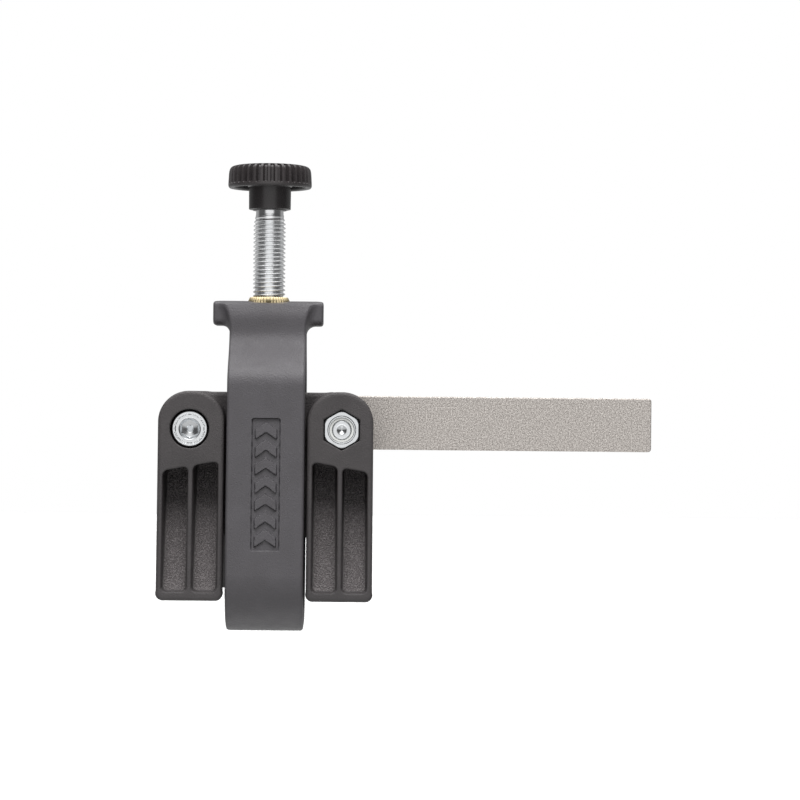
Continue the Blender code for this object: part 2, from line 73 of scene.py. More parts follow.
def cut(a, b, radius=0.0):
    """The first solid without the second, with the rim rounded."""
    return meet(a, -b, radius)


def between(value, low, high):
    return np.maximum(low - value, value - high)


def polygon(u, v, points):
    """Signed distance to a closed outline, negative inside."""
    nearest = np.inf
    inside = np.zeros(np.broadcast_shapes(np.shape(u), np.shape(v)), bool)
    for (au, av), (bu, bv) in zip(points, points[1:] + points[:1]):
        eu, ev = bu - au, bv - av
        if eu == 0 and ev == 0:
            continue
        wu, wv = u - au, v - av
        t = np.clip((wu * eu + wv * ev) / (eu * eu + ev * ev), 0, 1)
        nearest = np.minimum(nearest, (wu - t * eu) ** 2 + (wv - t * ev) ** 2)
        if ev != 0:
            inside ^= ((av > v) != (bv > v)) & (u < eu * wv / ev + au)
    return np.where(inside, -1, 1) * np.sqrt(nearest)


def rounded_rectangle(u, v, half_u, half_v, radius):
    qu, qv = np.abs(u) - half_u + radius, np.abs(v) - half_v + radius
    return np.minimum(np.maximum(qu, qv), 0) + length(np.maximum(qu, 0), np.maximum(qv, 0)) - radius


def hexagon(u, v, across_flats):
    """A hexagon with a corner at +v."""
    u, v = np.abs(u), np.abs(v)
    return np.maximum(u, 0.5 * u + 0.866 * v) - across_flats / 2


def smooth(t):
    t = np.clip(t, 0, 1)
    return t * t * (3 - 2 * t)


def arc(centre, radius, start, end, steps):
    angles = [math.radians(start + (end - start) * i / steps) for i in range(steps + 1)]
    return [(centre[0] + radius * math.cos(a), centre[1] + radius * math.sin(a)) for a in angles]


def mirrored(half):
    return half + [(-u, v) for u, v in reversed(half) if u > 0]


def gradient(field, points, step):
    slopes = []
    for axis in range(3):
        shift = np.zeros(3)
        shift[axis] = step
        ahead, behind = points + shift, points - shift
        slopes.append(field(*ahead.T) - field(*behind.T))
    slopes = np.stack(slopes, axis=1) / (2 * step)
    return slopes / np.maximum(np.linalg.norm(slopes, axis=1, keepdims=True), 1e-6)


def surface_net(field, low, high, cell):
    """Points and outward quads of the surface where the field is 0."""
    low = np.asarray(low, float)
    counts = np.ceil((np.asarray(high) - low) / cell).astype(int) + 1
    x, y, z = (low[i] + cell * np.arange(counts[i]) for i in range(3))
    values = field(x[:, None, None], y[None, :, None], z[None, None, :])
    values = np.broadcast_to(values, counts).astype(np.float32)
    inside = values < 0
    ids, crossings, quads = [], [], []
    for axis in range(3):
        lower, upper = [slice(None)] * 3, [slice(None)] * 3
        lower[axis], upper[axis] = slice(0, -1), slice(1, None)
        start = np.argwhere(inside[tuple(lower)] != inside[tuple(upper)])
        end = start.copy()
        end[:, axis] += 1
        at_start, at_end = values[tuple(start.T)], values[tuple(end.T)]
        crossing = start.astype(float)
        crossing[:, axis] += at_start / (at_start - at_end)
        around = []
        for du, dv in ((0, 0), (-1, 0), (-1, -1), (0, -1)):
            corner = start.copy()
            corner[:, (axis + 1) % 3] += du
            corner[:, (axis + 2) % 3] += dv
            around.append(np.ravel_multi_index(corner.T, counts))
        quad = np.stack(around, axis=1)
        outside_first = ~inside[tuple(start.T)]
        quad[outside_first] = quad[outside_first][:, ::-1]
        quads.append(quad)
        ids += around
        crossings += [crossing] * 4
    used, index = np.unique(np.concatenate(ids), return_inverse=True)
    crossings = np.concatenate(crossings)
    share = np.bincount(index)
    points = np.stack([np.bincount(index, crossings[:, i]) / share for i in range(3)], axis=1)
    return low + cell * points, np.searchsorted(used, np.concatenate(quads))


# ---------------------------------------------------------------- pieces


def new_object(name, data):
    obj = bpy.data.objects.new(name, data)
    bpy.context.scene.collection.objects.link(obj)
    return obj


def place(points, turn=False):
    """Millimetres round the screw's axis to metres in the model's frame, half round if turn is set."""
    points = np.asarray(points, float) * ((-1, -1, 1) if turn else (1, 1, 1))
    return points * MM + AXIS


def make_mesh(name, points, faces):
    mesh = bpy.data.meshes.new(name)
    if isinstance(faces, np.ndarray):
        faces = faces.tolist()
    mesh.from_pydata(np.asarray(points).tolist(), [], faces)
    mesh.update()
    return mesh


def reduced(points, faces, share):
    """The same surface with fewer triangles, most of them where it curves."""
    mesh = make_mesh("draft", points, faces)
    draft = new_object("draft", mesh)
    modifier = draft.modifiers.new("reduce", "DECIMATE")
    modifier.ratio = share
    evaluated = draft.evaluated_get(bpy.context.evaluated_depsgraph_get())
    result = evaluated.to_mesh()
    coordinates = np.empty(len(result.vertices) * 3, np.float32)
    result.vertices.foreach_get("co", coordinates)
    polygons = [tuple(face.vertices) for face in result.polygons]
    evaluated.to_mesh_clear()
    bpy.data.objects.remove(draft)
    bpy.data.meshes.remove(mesh)
    return coordinates.reshape(-1, 3).astype(float), polygons


def solid(name, field, low, high, cell, share, turn=False, to_frame=None, coarse_and_painted_light_mask=None):
    """A piece made from its distance field.

    cell is the sampling step and share the part of the triangles that is kept. The last argument says how
    coarse the grain is at a point, from 0 to 1; the same value paints the pocket floors paler there, as
    painted light.
    """
    points, quads = surface_net(field, low, high, cell)
    points, faces = reduced(points, quads, share)
    normals = gradient(field, points, 0.3 * cell)
    # where the grain is coarse; the same value also paints the pocket floors paler, as painted light
    coarse_and_painted_light = None if coarse_and_painted_light_mask is None else coarse_and_painted_light_mask(*points.T)
    if to_frame is not None:
        points, normals = to_frame(points), to_frame(normals) - to_frame(np.zeros((1, 3)))
    mesh = make_mesh(name, place(points, turn), faces)
    mesh.shade_smooth()
    mesh.normals_split_custom_set_from_vertices((normals * ((-1, -1, 1) if turn else (1, 1, 1))).tolist())
    if coarse_and_painted_light is not None:
        mesh.attributes.new("coarse_and_painted_light", "FLOAT", "POINT").data.foreach_set("value", coarse_and_painted_light.astype(np.float32))
    return new_object(name, mesh)


EDGE_SHARE = 0.45  # of an edge, at most, that the rounding at one of its ends may use


def fillet(points, radius, steps):
    """A polyline with its corners rounded, apart from its two ends."""
    out = [points[0]]
    for before, here, after in zip(points, points[1:], points[2:]):
        p, q, r = Vector(before), Vector(here), Vector(after)
        reach = min(radius, (p - q).length * EDGE_SHARE, (r - q).length * EDGE_SHARE)
        start, end = q + (p - q).normalized() * reach, q + (r - q).normalized() * reach
        for i in range(steps + 1):
            t = i / steps
            out.append(tuple(start * (1 - t) ** 2 + q * 2 * t * (1 - t) + end * t * t))
    return out + [points[-1]]


ON_AXIS = 1e-6
SHARP_ANGLE = math.radians(40)


def lathe(name, profile, steps, shape=None, to_frame=None, closed=False):
    """A profile of (radius, z) points, down the outside, spun about Z. shape may change a radius."""
    angles = np.arange(steps) * math.tau / steps
    points, rings = [], []
    for radius, z in profile:
        if radius < ON_AXIS:
            rings.append([len(points)] * steps)
            points.append((0, 0, z))
            continue
        radii = np.full(steps, radius) if shape is None else shape(radius, z, angles)
        rings.append(list(range(len(points), len(points) + steps)))
        ring = [radii * np.cos(angles), radii * np.sin(angles), np.full(steps, z)]
        points += np.stack(ring, axis=1).tolist()
    faces = []
    pairs = list(zip(rings, rings[1:])) + ([(rings[-1], rings[0])] if closed else [])
    for upper, lower in pairs:
        for i in range(steps):
            j = (i + 1) % steps
            face = list(dict.fromkeys((upper[i], lower[i], lower[j], upper[j])))
            if len(face) > 2:
                faces.append(face)
    points = np.asarray(points)
    if to_frame is not None:
        points = to_frame(points)
    mesh = make_mesh(name, place(points), faces)
    mesh.shade_smooth()
    mesh.set_sharp_from_angle(angle=SHARP_ANGLE)
    return new_object(name, mesh)


def finish_piece(piece, node, body, look):
    """The piece gets its look and its body, and takes the place of its node in the pack."""
    piece.data.materials.clear()
    piece.data.materials.append(look)
    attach(piece, body)
    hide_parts(node)


# ---------------------------------------------------------------- materials

# noise scales, in cells per metre
MOTTLE = 160
GLOSS = 420
HAZE = 900
PLATING = 2600
SPECK = 3000
SHEEN = 1500
PITS = 4200
# depths of the fine relief, in millimetres
PLATING_DEPTH = 0.03
PIT_DEPTH = 0.12
# the coarse grain's size in millimetres, and the colours of the painted light on the pocket floors: a paler
# colour, lightest on the grain's raised points, that stands in for the top light the floors catch
COARSE_GRAIN = 0.35
POCKET_PAINTED_LIGHT_LOW = (0.094, 0.085, 0.086)
POCKET_PAINTED_LIGHT_HIGH = (0.153, 0.140, 0.141)
SPECK_DARK = (0.44, 0.404, 0.377)
SPECK_LIGHT = (0.81, 0.765, 0.722)


def node_material(name):
    made = bpy.data.materials.new(name)
    made.use_nodes = True
    tree = made.node_tree
    return made, tree, tree.nodes["Principled BSDF"]


def noise(tree, scale, detail, roughness=0.5):
    """Noise fixed to the piece, most of it between 0.3 and 0.7."""
    coordinates = tree.nodes.new("ShaderNodeTexCoord")
    texture = tree.nodes.new("ShaderNodeTexNoise")
    texture.inputs["Scale"].default_value = scale
    texture.inputs["Detail"].default_value = detail
    texture.inputs["Roughness"].default_value = roughness
    tree.links.new(coordinates.outputs["Object"], texture.inputs["Vector"])
    return texture.outputs["Fac"]


def ramp(tree, source, low, high, from_low=0.3, from_high=0.7):
    """The source stretched to run from low to high."""
    node = tree.nodes.new("ShaderNodeMapRange")
    node.inputs["From Min"].default_value = from_low
    node.inputs["From Max"].default_value = from_high
    node.inputs["To Min"].default_value = low
    node.inputs["To Max"].default_value = high
    tree.links.new(source, node.inputs["Value"])
    return node.outputs["Result"]


def mix_colour(tree, share, first, second):
    node = tree.nodes.new("ShaderNodeMix")
    node.data_type = "RGBA"
    node.inputs[6].default_value = (*first, 1)
    node.inputs[7].default_value = (*second, 1)
    tree.links.new(share, node.inputs[0])
    return node.outputs[2]


def bump(tree, height, strength, distance, normal=None):
    node = tree.nodes.new("ShaderNodeBump")
    node.inputs["Strength"].default_value = strength
    node.inputs["Distance"].default_value = distance
    tree.links.new(height, node.inputs["Height"])
    if normal is not None:
        tree.links.new(normal, node.inputs["Normal"])
    return node.outputs["Normal"]


def moulded(name, dark, light, roughness, grain_mm, grain_depth_mm, coarse_depth_mm=0.0):
    """Moulded plastic: a fine grain with faint mottling, and where the mesh says so a coarse grain painted
    paler, lightest on its raised points: painted light for the top light on the pocket floors.
    """
    made, tree, shader = node_material(name)
    colour = mix_colour(tree, ramp(tree, noise(tree, MOTTLE, 3), 0, 1), dark, light)
    gloss = ramp(tree, noise(tree, GLOSS, 2), roughness - 0.04, roughness + 0.04)
    tree.links.new(gloss, shader.inputs["Roughness"])
    normal = bump(tree, noise(tree, 1 / (grain_mm * MM), 1.5, 0.6), 1.0, grain_depth_mm * MM)
    if coarse_depth_mm:
        where = tree.nodes.new("ShaderNodeAttribute")
        where.attribute_name = "coarse_and_painted_light"
        pebbles = noise(tree, 1 / (COARSE_GRAIN * MM), 1.0, 0.5)
        height = tree.nodes.new("ShaderNodeMath")
        height.operation = "MULTIPLY"
        tree.links.new(where.outputs["Fac"], height.inputs[0])
        tree.links.new(ramp(tree, pebbles, 0, 1, 0.35, 0.65), height.inputs[1])
        normal = bump(tree, height.outputs["Value"], 1.0, coarse_depth_mm * MM, normal)
        # painted light: the pocket floors are made paler, lightest on the grain's raised points, standing in
        # for the top light they catch
        pocket_painted_light = mix_colour(tree, ramp(tree, pebbles, 0, 1, 0.4, 0.6), POCKET_PAINTED_LIGHT_LOW, POCKET_PAINTED_LIGHT_HIGH)
        blend = tree.nodes.new("ShaderNodeMix")
        blend.data_type = "RGBA"
        tree.links.new(where.outputs["Fac"], blend.inputs[0])
        tree.links.new(colour, blend.inputs[6])
        tree.links.new(pocket_painted_light, blend.inputs[7])
        colour = blend.outputs[2]
    tree.links.new(colour, shader.inputs["Base Color"])
    tree.links.new(normal, shader.inputs["Normal"])
    return made


def plated(name, colour, roughness):
    """Bright metal with a faint haze."""
    made, tree, shader = node_material(name)
    shader.inputs["Base Color"].default_value = (*colour, 1)
    shader.inputs["Metallic"].default_value = 1
    haze = ramp(tree, noise(tree, HAZE, 3), roughness - 0.05, roughness + 0.07)
    tree.links.new(haze, shader.inputs["Roughness"])
    tree.links.new(bump(tree, noise(tree, PLATING, 2), 0.25, PLATING_DEPTH * MM), shader.inputs["Normal"])
    return made


def blasted(name):
    """Bead-blasted steel: light and dark specks over a dull warm grey."""
    made, tree, shader = node_material(name)
    speck = ramp(tree, noise(tree, SPECK, 2, 0.6), 0, 1, 0.4, 0.6)
    tree.links.new(mix_colour(tree, speck, SPECK_DARK, SPECK_LIGHT), shader.inputs["Base Color"])
    shader.inputs["Metallic"].default_value = 0.85
    tree.links.new(ramp(tree, noise(tree, SHEEN, 2), 0.5, 0.66), shader.inputs["Roughness"])
    tree.links.new(bump(tree, noise(tree, PITS, 2, 0.6), 0.7, PIT_DEPTH * MM), shader.inputs["Normal"])
    return made


# name, dark and light colour, roughness, grain size and depth, depth of the coarse grain
grey_plastic = moulded("yoke_grey", (0.066, 0.062, 0.067), (0.076, 0.072, 0.078), 0.42, 0.32, 0.14)
black_plastic = moulded("saddle_black", (0.045, 0.041, 0.042), (0.055, 0.050, 0.051), 0.52, 0.36, 0.15, 0.22)
knob_plastic = moulded("knob_black", (0.034, 0.030, 0.031), (0.042, 0.037, 0.038), 0.27, 0.5, 0.01)
zinc = plated("bright_zinc", (0.82, 0.84, 0.855), 0.17)
screw_zinc = plated("bright_screw_zinc", (0.93, 0.94, 0.95), 0.18)
brass = plated("knurled_brass", (0.98, 0.82, 0.51), 0.25)
steel = blasted("blasted_steel_bar")
white_nylon, _, nylon_shader = node_material("white_nylon")
nylon_shader.inputs["Base Color"].default_value = (0.72, 0.73, 0.71, 1)
nylon_shader.inputs["Roughness"].default_value = 0.4


# ---------------------------------------------------------------- saddle

FAR = 60  # past every face, where a section is cut off by something else

# the arms
ARM_X = 17.6
ARM_HALF = 7.8
ARM_TOP_CENTRE = -0.45
ARM_TOP = ARM_TOP_CENTRE + ARM_HALF
ARM_TOP_CORNER = 7.3
ARM_FOOT_CORNER = 1.6
ARM_BOTTOM = -41.8
ARM_EDGE = 1.0
LIP_TOP = -39.6
LIP_PROUD = 0.1
BOSS_FACE = 17.8
BOSS_FACE_BOTTOM = -9.0
FOOT_FACE = 21.8
FACE_SLOPE = (FOOT_FACE - BOSS_FACE) / (BOSS_FACE_BOTTOM - ARM_BOTTOM)
FACE_COSINE = math.cos(math.atan(FACE_SLOPE))
FACE_BLEND = 5.0

# the V that grips a handle, and the web between the arms
V_SLOPE = math.tan(math.radians(22.5))
V_COSINE = math.cos(math.radians(22.5))
V_APEX = 1.4
V_TOP = -9.0
V_END = -80  # past the arms' feet
V_WALL = 2.3 / V_COSINE
WEB_TOP = 7.2
WEB_FACE = 7.5
WEB_BOTTOM = -27.0
WEB_LAP = 2
WEB_FILLET = 0.6
SLOT_FACE = 2.3
SLOT_BOTTOM = -6.8
SPLIT = 0.15
INNER_EDGE = 0.45

# the pockets in each arm's front
POCKET_HALF = 2.95
POCKET_OFFSET = 3.55
POCKET_TOP = -10.4
POCKET_BOTTOM = -39.8
POCKET_TOP_SLOPE = math.tan(math.radians(10))
POCKET_TOP_COSINE = 0.985
POCKET_DRAFT = math.tan(math.radians(0.8))
POCKET_CORNER = 1.2
POCKET_FILLET = 1.1
POCKET_RIM = 0.5

# the holes for the bolts and for the clamp screw's tip
BOLT_X = 17.95
BOLT_Z = -1.6
BOLT_HOLE = 2.8
SEAT = 12.6
COUNTERBORE = 4.62
HEX_RECESS = 8.5
RECESS_RIM = 0.3
TIP_HOLE = 3.6
TIP_HOLE_BOTTOM = 6.3
TIP_HOLE_RIM = 0.2


def v_inner(z):
    """The V's inner face at a height, from the middle plane."""
    return (V_APEX - z) * V_SLOPE


def pocket_floor(front, z):
    """Distance behind the pockets' floors, which stand one wall's thickness in front of the V."""
    return (v_inner(z) + V_WALL - front) * V_COSINE


def jaw_field(x, y, z):
    """The front jaw."""
    front = -y
    across = np.abs(x) - ARM_X

    # the arms: a round top, a lip at the foot, and a face that slopes below the boss
    middle, half = (ARM_TOP + ARM_BOTTOM) / 2, (ARM_TOP - ARM_BOTTOM) / 2
    corner = np.where(z > middle, ARM_TOP_CORNER, ARM_FOOT_CORNER)
    outline = rounded_rectangle(across, z - middle, ARM_HALF, half, corner)
    outline = outline - LIP_PROUD * smooth((LIP_TOP - z) / 0.5)
    upper_face = front - BOSS_FACE
    lower_face = (front - BOSS_FACE - (BOSS_FACE_BOTTOM - z) * FACE_SLOPE) * FACE_COSINE
    face = join(upper_face, lower_face, FACE_BLEND)
    arms = meet(outline, face, ARM_EDGE)

    # the web joins the arms, and its inside is the tongue's slot and the V
    web_outer = polygon(front, z, [
        (-FAR, WEB_TOP),
        (WEB_FACE - 0.9, WEB_TOP),
        (WEB_FACE - 0.25, WEB_TOP - 0.25),
        (WEB_FACE, WEB_TOP - 0.9),
        (WEB_FACE, V_APEX - (WEB_FACE - V_WALL) / V_SLOPE),
        (v_inner(WEB_BOTTOM) + V_WALL, WEB_BOTTOM),
        (-FAR, WEB_BOTTOM),
    ])
    web = meet(web_outer, np.abs(x) - ARM_X + WEB_LAP)
    body = np.maximum(join(arms, web, WEB_FILLET), z - ARM_TOP)
    inner = polygon(front, z, [
        (SLOT_FACE, FAR),
        (SLOT_FACE, SLOT_BOTTOM),
        (SPLIT, SLOT_BOTTOM),
        (SPLIT, V_TOP),
        (v_inner(V_TOP), V_TOP),
        (v_inner(V_END), V_END),
        (2 * FAR, V_END),
        (2 * FAR, FAR),
    ])
    body = meet(body, inner, INNER_EDGE)

    # the pockets, drafted, with a sloping top that rises towards the yoke
    sides = np.abs(np.abs(across) - POCKET_OFFSET) - (POCKET_HALF + face * POCKET_DRAFT)
    top = (z - POCKET_TOP + across * POCKET_TOP_SLOPE) * POCKET_TOP_COSINE
    ends = np.maximum(POCKET_BOTTOM - z - face * POCKET_DRAFT, top)
    pocket = meet(meet(sides, ends, POCKET_CORNER), pocket_floor(front, z), POCKET_FILLET)
    body = cut(body, pocket, POCKET_RIM)

    # the bolt holes, with a counterbore on the left and a hexagonal recess on the right
    bolt_u, bolt_v = np.abs(x) - BOLT_X, z - BOLT_Z
    from_bolt = length(bolt_u, bolt_v)
    bottom = SEAT - 0.3 - front
    recess = np.where(x < 0, from_bolt - COUNTERBORE, hexagon(bolt_u, bolt_v, HEX_RECESS))
    body = cut(body, np.maximum(recess, bottom), RECESS_RIM)
    body = np.maximum(body, BOLT_HOLE - from_bolt)
    return cut(body, meet(length(x, y) - TIP_HOLE, TIP_HOLE_BOTTOM - z), TIP_HOLE_RIM)


def pocket_floors_coarse_and_painted_light(x, y, z):
    """The pocket floors have a coarse grain, the rest of the saddle a fine one; the same value paints the
    floors paler, as painted light.
    """
    sides = np.abs(np.abs(np.abs(x) - ARM_X) - POCKET_OFFSET) - POCKET_HALF
    outside = np.maximum(sides, between(z, POCKET_BOTTOM, POCKET_TOP + 0.6))
    near_floor = 1.0 - smooth((np.abs(pocket_floor(-y, z)) - 0.15) / 0.3)
    return near_floor * (1.0 - smooth(outside / 0.3))


MOULDING_CELL = 0.26
MOULDING_SHARE = 0.3
JAW_BOX = ((-26.6, -22.7, -42.4), (26.6, 0.5, 8.2))
for turn, node in ((False, "front_jaw"), (True, "rear_jaw")):
    piece = solid(
        node + "_moulding", jaw_field, *JAW_BOX, MOULDING_CELL, MOULDING_SHARE,
        turn=turn, coarse_and_painted_light_mask=pocket_floors_coarse_and_painted_light,
    )
    finish_piece(piece, node, "saddle", black_plastic)


# ---------------------------------------------------------------- yoke

# the loop, seen from the side
YOKE_HALF = 9.2
YOKE_EDGE = 0.75
YOKE_TOP = 29.3
YOKE_BOTTOM = -49.8
HEAD_Y = 8.0
HEAD_EDGE = 5.0
SHOULDER_Y = 19.0
SHOULDER_TOP = YOKE_TOP - HEAD_EDGE
SHOULDER_END = 8.0
SHOULDER_WAIT = 0.05  # the share of the shoulder, at its top, that is still upright
SHOULDER_STEPS = 56
FOOT_Y = 22.9
FOOT_RADIUS = 14.0
WALL = 4.3
FLOOR = 4.1
WINDOW_TOP = 18.0
WINDOW_TOP_Y = 6.5
WINDOW_CORNER = 1.2
WINDOW_SHOULDER = 5.5
WINDOW_STEPS = 30

# the head: it flares, a bar crosses it, its top is slightly crowned, and the insert sits in its bore
FLARE = 1.6
FLARE_START = 22.0
BAR_Z = 26.3
BAR_HALF_X = 13.3
BAR_HALF_Y = 5.5
BAR_HALF_Z = 3.0
BAR_CORNER = 1.6
BAR_EDGE = 0.7
BAR_FILLET = 2.2
CROWN = 0.02
CROWN_EDGE = 0.3
INSERT_BORE = 5.12
INSERT_BORE_BOTTOM = 16.0
INSERT_BORE_RIM = 0.15

# the panel down the front leg, and its raised pattern
PANEL_TOP = 1.0
PANEL_BOTTOM = -30.0
PANEL_X = 0.15
PANEL_HALF = 3.3
PANEL_CORNER = 0.5
PANEL_DEPTH = 0.7
PANEL_RIM = 0.08
PATTERN_SUNK = 0.1
PATTERN_MARGIN = 0.8
PATTERN_HALF = 2.55
CHEVRONS = 7
CHEVRON_MIDDLE = 1.25
CHEVRON_SLOPE = 0.7
CHEVRON_COSINE = 0.82
CHEVRON_HALF = 1.0
CHEVRON_EDGE = 0.2


def shoulder(t):
    """From upright at 0, through the slanting shoulder, to the leg's own slope at 1."""
    leg_slope = (FOOT_Y - SHOULDER_Y) / (SHOULDER_END - YOKE_BOTTOM - FOOT_RADIUS)
    last = leg_slope * (SHOULDER_TOP - SHOULDER_END) / (SHOULDER_Y - HEAD_Y)
    late = max(0.0, (t - SHOULDER_WAIT) / (1 - SHOULDER_WAIT))
    return late ** 3 * (10 - 15 * late + 6 * late * late) * (1 - last * (1 - t))


def yoke_outer():
    """Half of the loop's outline, from the head down to the foot."""
    edge = arc((HEAD_Y - HEAD_EDGE, YOKE_TOP - HEAD_EDGE), HEAD_EDGE, 90, 0, 20)
    shoulders = []
    for i in range(SHOULDER_STEPS + 1):
        t = i / SHOULDER_STEPS
        y = HEAD_Y + (SHOULDER_Y - HEAD_Y) * shoulder(t)
        shoulders.append((y, SHOULDER_TOP + (SHOULDER_END - SHOULDER_TOP) * t))
    foot = arc((FOOT_Y - FOOT_RADIUS, YOKE_BOTTOM + FOOT_RADIUS), FOOT_RADIUS, 0, -90, 48)
    return edge + shoulders[1:] + foot


def yoke_window():
    """Half of the loop's inner outline, the same way."""
    widening = SHOULDER_Y - WALL - WINDOW_TOP_Y
    top = [(WINDOW_TOP_Y - WINDOW_CORNER, WINDOW_TOP)]
    shoulders = [
        (
            WINDOW_TOP_Y + widening * float(smooth(i / WINDOW_STEPS)),
            WINDOW_TOP - (WINDOW_TOP - WINDOW_SHOULDER) * i / WINDOW_STEPS,
        )
        for i in range(2, WINDOW_STEPS + 1)
    ]
    radius = FOOT_RADIUS - WALL
    foot = arc((FOOT_Y - FOOT_RADIUS, YOKE_BOTTOM + FLOOR + radius), radius, 0, -90, 36)
    return top + shoulders + foot


OUTER_LOOP = mirrored(yoke_outer())
INNER_LOOP = mirrored(yoke_window())


def pattern_field(x, z):
    """A plain row of raised chevrons."""
    height = (PANEL_TOP - PANEL_BOTTOM - 2 * PATTERN_MARGIN) / CHEVRONS
    along = (z - PANEL_BOTTOM - PATTERN_MARGIN) / height
    step = np.clip(np.floor(along), 0, CHEVRONS - 1)
    u, v = np.abs(x - PANEL_X), (along - step - 0.5) * height
    bar = np.abs(v + (u - CHEVRON_MIDDLE) * CHEVRON_SLOPE) * CHEVRON_COSINE - CHEVRON_HALF
    return meet(bar, u - PATTERN_HALF, CHEVRON_EDGE)


def yoke_field(x, y, z):
    """The yoke: a loop with a flared head, a bar across it, a recessed panel and the insert's bore."""
    outer = polygon(y, z, OUTER_LOOP)
    loop = np.maximum(outer, -polygon(y, z, INNER_LOOP))
    flare = FLARE * np.clip((z - FLARE_START) / (YOKE_TOP - FLARE_START), 0, 1) ** 2
    loop = meet(loop, np.abs(x) - YOKE_HALF - flare, YOKE_EDGE)
    bar = rounded_rectangle(y, z - BAR_Z, BAR_HALF_Y, BAR_HALF_Z, BAR_CORNER)
    body = join(loop, meet(bar, np.abs(x) - BAR_HALF_X, BAR_EDGE), BAR_FILLET)
    body = meet(body, z - YOKE_TOP + CROWN * y ** 2, CROWN_EDGE)
    middle, half = (PANEL_TOP + PANEL_BOTTOM) / 2, (PANEL_TOP - PANEL_BOTTOM) / 2
    panel = rounded_rectangle(x - PANEL_X, z - middle, PANEL_HALF, half, PANEL_CORNER)
    panel = meet(panel, np.maximum(-(outer + PANEL_DEPTH), y))
    panel = np.maximum(panel, -np.maximum(pattern_field(x, z), outer + PATTERN_SUNK))
    body = cut(body, panel, PANEL_RIM)
    return cut(body, meet(length(x, y) - INSERT_BORE, INSERT_BORE_BOTTOM - z), INSERT_BORE_RIM)


YOKE_BOX = ((-13.9, -23.6, -50.4), (13.9, 23.6, 29.9))
yoke_piece = solid("yoke_moulding", yoke_field, *YOKE_BOX, MOULDING_CELL, MOULDING_SHARE)
finish_piece(yoke_piece, "yoke", "yoke", grey_plastic)


# ---------------------------------------------------------------- insert, screw and knob

KNURL_TEETH = 44
KNURL_DEPTH = 0.2
KNURL_INSIDE = 4.5
INSERT_STEPS = 288
INSERT_PROFILE = [(4.05, 30.2), (4.65, 30.2), (5.1, 29.2), (5.1, 19.3), (4.8, 19.0), (4.05, 19.0)]


def knurl(radius, z, angles):
    """Straight teeth round the insert's flange and chamfer, none in its bore."""
    if radius < KNURL_INSIDE:
        return np.full(len(angles), radius)
    wave = smooth(np.abs((angles * KNURL_TEETH / math.tau) % 1 - 0.5) * 2)
    return radius - KNURL_DEPTH * wave


insert = lathe("brass_insert", fillet(INSERT_PROFILE, 0.12, 2), INSERT_STEPS, knurl, closed=True)
finish_piece(insert, "threaded_insert", "yoke", brass)

PITCH = 1.0
THREAD_SAMPLES = 14  # along one pitch
SCREW_STEPS = 96
CREST = 3.9
ROOT = 3.4
NECK = 3.34
THREAD_INSIDE = 3.3
THREAD_TOP = 50.4
THREAD_BOTTOM = 8.7
TIP = 3.0
TIP_TOP = 8.4
TIP_BOTTOM = 6.8
RUN_OUT = 0.22
SCREW_TOP = 58.0


def thread(radius, z, angles):
    """Ridges that run out towards the knob and towards the tip."""
    if not THREAD_BOTTOM < z < THREAD_TOP or radius < THREAD_INSIDE:
        return np.full(len(angles), radius)
    phase = (z / PITCH - angles / math.tau) % 1
    wave = smooth(np.clip(np.abs(phase - 0.5) * 2.3 - 0.08, 0, 1))
    crest = min(CREST, TIP + z - TIP_TOP, NECK + (THREAD_TOP - z) * RUN_OUT)
    root = min(ROOT, crest)
    return root + (crest - root) * wave


screw_profile = (
    [(0, SCREW_TOP), (NECK, SCREW_TOP), (NECK, 51.2)]
    + [(NECK, z) for z in np.arange(THREAD_TOP + 0.1, THREAD_BOTTOM + 0.05, -PITCH / THREAD_SAMPLES)]
    + fillet([(3.25, THREAD_BOTTOM), (TIP, 8.5), (TIP, TIP_BOTTOM), (0, TIP_BOTTOM)], 0.35, 4)
)
screw = lathe("threaded_screw", screw_profile, SCREW_STEPS, thread)
finish_piece(screw, "clamp_screw", "screw", screw_zinc)

FLUTES = 36
FLUTE_DEPTH = 1.05
FLUTE_BOTTOM = 57.5
FLUTE_INSIDE = 8.4
FLUTE_SAMPLES = 12  # round one flute


def flutes(radius, z, angles):
    """Grooves down the knob's rim, rounded at their ends."""
    weight = smooth((z - FLUTE_BOTTOM) / 0.3) * smooth((radius - FLUTE_INSIDE) / 0.6)
    ridge = smooth((np.cos(FLUTES * angles) + 0.3) / 0.7)
    return radius - FLUTE_DEPTH * weight * (1 - ridge)


KNOB_SEAT = 57.9
knob_outside = [
    # the top and the fluted rim
    (0, 62.3), (5.0, 62.28), (8.4, 62.1), (9.3, 61.85), (9.8, 61.3), (9.98, 60.5), (10.06, 59.2),
    (10.13, 57.9), (10.15, 57.2), (9.9, 56.7), (9.3, 56.62),
    # the hollow under the rim
    (8.7, 56.9), (8.5, 59.4), (7.9, 59.6), (5.9, 59.6), (5.5, 59.2),
    # the hub
    (5.5, 57.3), (5.4, 57.1), (5.12, 57.0), (5.08, 51.6), (4.9, 51.5), (4.15, 51.5), (4.1, 51.25),
    (NECK, 51.25),
]
knob_profile = fillet(knob_outside, 0.5, 4) + [(NECK, KNOB_SEAT), (0, KNOB_SEAT)]
knob_piece = lathe("fluted_knob", knob_profile, FLUTES * FLUTE_SAMPLES, flutes)
finish_piece(knob_piece, "knob", "screw", knob_plastic)


# ---------------------------------------------------------------- tongue

TONGUE_LEFT, TONGUE_RIGHT = -24.3, 93.0
TONGUE_HALF_HEIGHT = 6.5
TONGUE_HALF_THICKNESS = 2.0
FREE_CORNER = 0.8
HIDDEN_CORNER = 5.0
TONGUE_EDGE = 0.35
TONGUE_BOX = ((-24.9, -2.6, -7.1), (93.6, 2.6, 7.1))
TONGUE_CELL = 0.25
TONGUE_SHARE = 0.12


